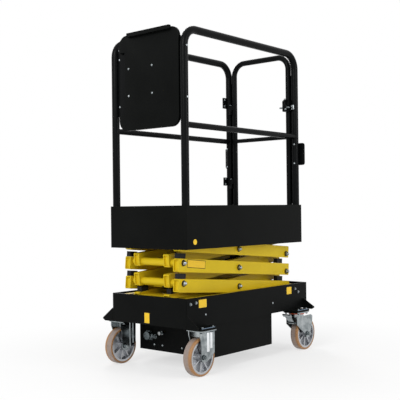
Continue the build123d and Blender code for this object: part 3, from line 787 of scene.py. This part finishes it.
# %% Bearing rings
HUB_FACE = 0.0289
RING = grown([(0.0215, 0), (0.0215, 0.0012), (0.0205, 0.002), (0.0165, 0.002),
              (0.0155, 0.0012), (0.012, 0.001)], 32)
for body, x, side in (("fixed_wheel_near", -AXLE_X, -1), ("fixed_wheel_far", -AXLE_X, 1),
                      ("swivel_wheel_near", AXLE_X, -1), ("swivel_wheel_far", AXLE_X, 1)):
    spots = [((x, side * CASTOR_Y + out * HUB_FACE, AXLE_Z), (0, out, 0), 0.0)
             for out in (-1, 1)]
    seat(copies(RING, spots), "bearings_" + body, ZINC, body)
scrap(RING)

# %% [markdown]
# Stickers are thin leaves with round corners: a dark one, and a smaller bright
# one on it. They stay blank. One is stuck on the arm, so it rides with the arm
# and leans as the arm does.


# %% Blank stickers
def sticker(name, place, direction, width, height, body, spin=0.0):
    rim = leaf(width, height, 0.004, 0.0004)
    face = leaf(width, height, 0.003, 0.0007, inset=0.0028)
    for part, label, paint, slot in ((rim, "_rim", PAD, "pad_rubber"),
                                     (face, "_face", STICKER, None)):
        seat(laid(part, place, direction, spin), name + label, paint, body)


for side, way in SIDES:
    tag = "near" if side < 0 else "far"
    sticker("tub_sticker_left_" + tag, (-0.439, side * TUB_SIDE, 0.371), way, 0.068, 0.048,
            "chassis")
    sticker("tub_sticker_right_" + tag, (0.371, side * TUB_SIDE, 0.369), way, 0.056, 0.048,
            "chassis")
sticker("tub_sticker_end", (-0.568, 0.008, 0.286), FRONT, 0.042, 0.06, "chassis")
ARM_FACE = 0.2
x, z = on_arm(2, -0.3975)
arm_lean = math.atan2(-STAGE_RISE, PIN_RIGHT - PIN_LEFT)
sticker("arm_sticker", (x, -ARM_FACE, z), NEAR, 0.15, 0.044, "outer_2", spin=arm_lean)

# %% [markdown]
# Near the foot of each toe board sits a small round mark, also blank.

# %% Round marks on the toe boards
TOE_SIDE = 0.2825
MARK = grown([(0.0145, 0), (0.0145, 0.0005), (0.0135, 0.0009), (0.011, 0.0009),
              (0.0105, 0.0006)], 32)
seat(copies(MARK, [((-0.502, side * TOE_SIDE, 0.697), way, 0.0) for side, way in SIDES]),
     "toe_marks", STICKER, "platform")
scrap(MARK)

# %% [markdown]
# The control plate is a shallow pan of folded sheet. It starts as a leaf with
# round corners; its back is inset and pushed in, its front rim is bevelled,
# and a Boolean cuts the notch at its left edge where a bracket shows. Faces
# are picked by where they are and how they face.

# %% Pan of the control plate
PAN_FRONT = -0.564
PAN_DEEP = 0.018
PAN_SHEET = 0.003
PAN_LOW = 1.3025
PAN_HIGH = 1.827
PAN_LEFT = 0.208
PAN_RIGHT = -0.235


def pick_faces(piece, test):
    """Selects in edit mode the faces that pass a test of centre and normal."""
    bpy.ops.object.mode_set(mode="OBJECT")
    for face in piece.data.polygons:
        face.select = test(face.center, face.normal)
    for edge in piece.data.edges:
        edge.select = False
    for corner in piece.data.vertices:
        corner.select = False
    for face in piece.data.polygons:
        if face.select:
            for index in face.vertices:
                piece.data.vertices[index].select = True
    bpy.ops.object.mode_set(mode="EDIT")
    bpy.ops.mesh.select_mode(type="FACE")


pan = leaf(PAN_LEFT - PAN_RIGHT, PAN_HIGH - PAN_LOW, 0.055, PAN_DEEP)
pick_faces(pan, lambda centre, normal: normal.z < -0.9)
bpy.ops.mesh.inset(thickness=PAN_SHEET)
inward = (0, 0, PAN_DEEP - PAN_SHEET)
bpy.ops.mesh.extrude_region_move(TRANSFORM_OT_translate={"value": inward})
pick_faces(pan, lambda centre, normal: normal.z > 0.9 and centre.z > PAN_DEEP - 0.001)
bpy.ops.mesh.bevel(offset=0.0025, segments=3, affect="EDGES")
bpy.ops.mesh.select_all(action="SELECT")
bpy.ops.mesh.normals_make_consistent(inside=False)
bpy.ops.object.mode_set(mode="OBJECT")
laid(pan, (PAN_FRONT + PAN_DEEP, (PAN_LEFT + PAN_RIGHT) / 2, (PAN_LOW + PAN_HIGH) / 2), FRONT)
cutter = slab((0.06, 0.07, 0.345), 0.004, (-0.555, 0.198, 1.5625))
settle(pan)
notch = pan.modifiers.new("notch", "BOOLEAN")
notch.operation = "DIFFERENCE"
notch.solver = "EXACT"
notch.object = cutter
bpy.ops.object.modifier_apply(modifier=notch.name)
scrap(cutter)
print("pan", len(pan.data.polygons), "faces")

# %% [markdown]
# Along the top of the pan runs a lip, a channel that is open below. It is a
# slab whose lower face is inset and pushed up inside it.

# %% Lip over the pan
LIP_WALL = 0.0012
LIP_HOLLOW = 0.016
lip = slab((0.019, 0.315, 0.021), 0.002, (-0.5735, -0.0275, 1.8225))
pick_faces(lip, lambda centre, normal: normal.z < -0.99)
bpy.ops.mesh.inset(thickness=LIP_WALL)
bpy.ops.mesh.extrude_region_move(TRANSFORM_OT_translate={"value": (0, 0, LIP_HOLLOW)})
bpy.ops.object.mode_set(mode="OBJECT")
seat(join([pan, lip]), "control_pan", CHASSIS, "platform",
     stands_for=("control_plate",))

# %% [markdown]
# Two upright brackets behind the pan carry it on the end posts, and screws
# hold them. Four more screws in the face of the pan carry the control box.

# %% Brackets and screws of the control plate
BRACKET_X = -0.544
brackets = [slab((0.004, high_y - low_y, 0.39), 0.0012, (BRACKET_X, (low_y + high_y) / 2, 1.58))
            for low_y, high_y in ((0.165, 0.2366), (-0.2366, -0.185))]
seat(join(brackets), "plate_brackets", RAIL, "platform")
screws = [((PAN_FRONT, y, z), FRONT, 0.0) for y in (-0.044, 0.133) for z in (1.492, 1.641)]
for z in (1.755, 1.704, 1.441):
    screws.append(((BRACKET_X - 0.002, 0.2225, z), FRONT, 0.0))
for side, way in SIDES:
    for z in (1.717, 1.45):
        screws.append(((-0.5448, side * 0.2783, z), way, 0.0))
seat(copies(SCREW, screws), "plate_screws", ZINC, "platform")

# %% [markdown]
# A plate is bolted behind each gate-end post and reaches out past it. It is a
# leaf with round corners, and its two bolts pass through the post with their
# heads on the front of the tube.

# %% Plates on the gate-end posts
POST_X = 0.4848
POST_Y = 0.2573
POST_R = 0.021
PLATE_THICK = 0.006
PLATE_Z = 1.2013
plates = []
heads = []
nuts = []
for side, way in SIDES:
    plates.append(laid(leaf(0.062, 0.136, 0.014, PLATE_THICK),
                       (POST_X + POST_R, side * (POST_Y + 0.0215), PLATE_Z), BACK))
    bolt_y = side * (POST_Y + 0.006)
    for z in (1.260, 1.143):
        heads.append(((POST_X - POST_R + 0.0012, bolt_y, z), FRONT, 0.0))
        nuts.append(((POST_X + POST_R + PLATE_THICK, bolt_y, z), BACK, 0.4))
seat(join(plates), "post_side_plates", RAIL, "platform",
     stands_for=("post_plates",))
seat(copies(SCREW, heads), "post_plate_heads", ZINC, "platform")
seat(copies(BOLT_HEAD, nuts), "post_plate_nuts", ZINC, "platform")

# %% [markdown]
# A gate that opens inwards needs a stop, or it would swing out over the edge.
# A flat bar on the outer side of each post closes the gap beside the gate.

# %% Gate stops
stops = [slab((0.003, 0.04, 0.795), 0.0009, (0.504, side * 0.235, 1.2955))
         for side, way in SIDES]
seat(join(stops), "gate_stops", RAIL, "platform")

# %% [markdown]
# The gate's hinges show two clamp ears in front of the far post, each drawn
# together by two bolts, and bright pin heads over the knuckles.

# %% Hinge ears and pin heads
KNUCKLE_X = 0.4648
KNUCKLE_Y = 0.2318
ears = []
bolts = []
for z, high in ((1.047, 0.054), (1.562, 0.07)):
    ears.append(slab((0.036, 0.012, high), 0.003, (0.451, 0.268, z)))
    for shift in (-0.3, 0.3):
        bolts.append(((0.444, 0.262, z + shift * high), NEAR, shift))
seat(join(ears), "hinge_ears", RAIL, "platform")
seat(copies(BOLT_HEAD, bolts), "hinge_bolts", ZINC, "platform")
PIN_HEAD = grown([(0.0072, 0), (0.0076, 0.0006), (0.0076, 0.0022)]
                 + dome(0.0072, 0.0024, 0.0026, 3), 20)
seat(copies(PIN_HEAD, [((KNUCKLE_X, KNUCKLE_Y, z), UP, 0.0) for z in (1.0602, 1.5452)]),
     "hinge_pin_heads", ZINC, "platform")
scrap(PIN_HEAD)

# %% [markdown]
# The gate locks with a bright round bolt in a black housing. A worker draws it
# by the knob on top, and its tip meets a small keep on the post.

# %% Latch of the gate
LATCH_X = 0.4408
LATCH_Y = -0.214
LATCH_Z = 1.488
housing = slab((0.016, 0.03, 0.034), 0.004, (LATCH_X, LATCH_Y, LATCH_Z))
bolt = grown([(0.0045, 0), (0.0055, 0.001), (0.0055, 0.068), (0.004, 0.071)], 20)
laid(bolt, (LATCH_X, -0.176, LATCH_Z), NEAR)
knob = grown([(0.004, 0), (0.004, 0.02), (0.0085, 0.023), (0.0105, 0.028)]
             + dome(0.0105, 0.007, 0.029, 4), 24)
laid(knob, (LATCH_X, LATCH_Y, LATCH_Z + 0.016), UP)
seat(join([housing, knob]), "latch_housing", RAIL, "gate")
seat(bolt, "latch_bolt", ZINC, "gate")
screws = [((LATCH_X, LATCH_Y, 1.5415), UP, 0.0),
          ((LATCH_X - 0.008, LATCH_Y - 0.01, 1.478), FRONT, 0.0)]
seat(copies(SCREW, screws), "latch_screws", ZINC, "gate")
keep = slab((0.01, 0.02, 0.03), 0.003, (LATCH_X + 0.02, -POST_Y, LATCH_Z))
seat(keep, "latch_keep", ZINC, "platform")

# %% [markdown]
# The slanted face of the control box has a key switch, three small push
# buttons and a round charge meter whose dial is blank. They are grown shells
# laid along the normal of the slant.

# %% Controls on the box
SLANT = Vector((0.105, 0.0, 0.052)).normalized()
FOOT = Vector((-0.4488, 0.0, 1.56025))
RISE = Vector((-0.052, 0.0, 0.105)).normalized()


def on_slant(y, along, lift=0.0):
    """A place on the slant: across, up along it, and out of it."""
    return tuple(FOOT + RISE * along + Vector((0, y, 0)) + SLANT * lift)


METER_SPOT = [(on_slant(-0.045, 0.078), SLANT, 0.0)]
meter = grown([(0.019, 0), (0.019, 0.003), (0.0175, 0.0045), (0.0155, 0.0045),
               (0.015, 0.003)], 36)
dial = grown([(0.0148, 0.0028), (0.0148, 0.0034)], 36)
key_ring = grown([(0.0095, 0), (0.0095, 0.003), (0.008, 0.004), (0.0045, 0.004),
                  (0.004, 0.002)], 28)
key = slab((0.0022, 0.014, 0.02), 0.0008)
push = grown([(0.0075, 0), (0.0075, 0.002), (0.006, 0.0026), (0.006, 0.006)]
             + dome(0.0058, 0.0014, 0.0062, 3), 24)
seat(copies(meter, METER_SPOT), "meter_rim", PAD, "platform")
seat(copies(dial, METER_SPOT), "meter_dial", DIAL, "platform")
seat(copies(key_ring, [(on_slant(-0.05, 0.028), SLANT, 0.0)]), "key_ring", ZINC,
     "platform")
seat(copies(key, [(on_slant(-0.05, 0.028, 0.0115), SLANT, 0.5)]), "key_blade", ZINC,
     "platform")
seat(copies(push, [(on_slant(y, 0.03), SLANT, 0.0) for y in (-0.022, 0.062, 0.088)]),
     "push_buttons", BOXES, "platform")
scrap(meter, dial, key_ring, key, push)

# %% [markdown]
# The deck sheet has rows of small raised lenses that turn left and right by
# turns, so that shoes grip. One lens is grown and stretched, and two Array
# modifiers lay out each of its two directions. The second direction starts
# half a step along and so has one column less.

# %% Grip pattern of the deck
GRIP_STEP_X = 0.052
GRIP_STEP_Y = 0.0265
GRIP_ROWS = 17
GRIP_START = Vector((-0.5, -0.212, 0.7349))
lenses = []
for turn, shift, columns in ((math.radians(45), 0.0, 19),
                             (math.radians(-45), GRIP_STEP_X / 2, 18)):
    lens = grown([(0.0105, 0), (0.009, 0.0007), (0.006, 0.0012), (0.002, 0.0014)], 10)
    lens.scale = (1.0, 0.34, 1.0)
    lens.rotation_euler = (0, 0, turn)
    lens.location = GRIP_START + Vector((shift, 0, 0))
    settle(lens)
    for offset, count in (((GRIP_STEP_X, 0.0, 0.0), columns),
                          ((0.0, GRIP_STEP_Y, 0.0), GRIP_ROWS)):
        rows = lens.modifiers.new("rows", "ARRAY")
        rows.use_relative_offset = False
        rows.use_constant_offset = True
        rows.constant_offset_displace = offset
        rows.count = count
        bpy.ops.object.modifier_apply(modifier=rows.name)
    lenses.append(lens)
seat(join(lenses), "deck_grip", CHASSIS, "platform")
scrap(DOME_NUT, PIN_WASHER_AND_SHADE, BOLT_HEAD, SCREW, AXLE_NUT)
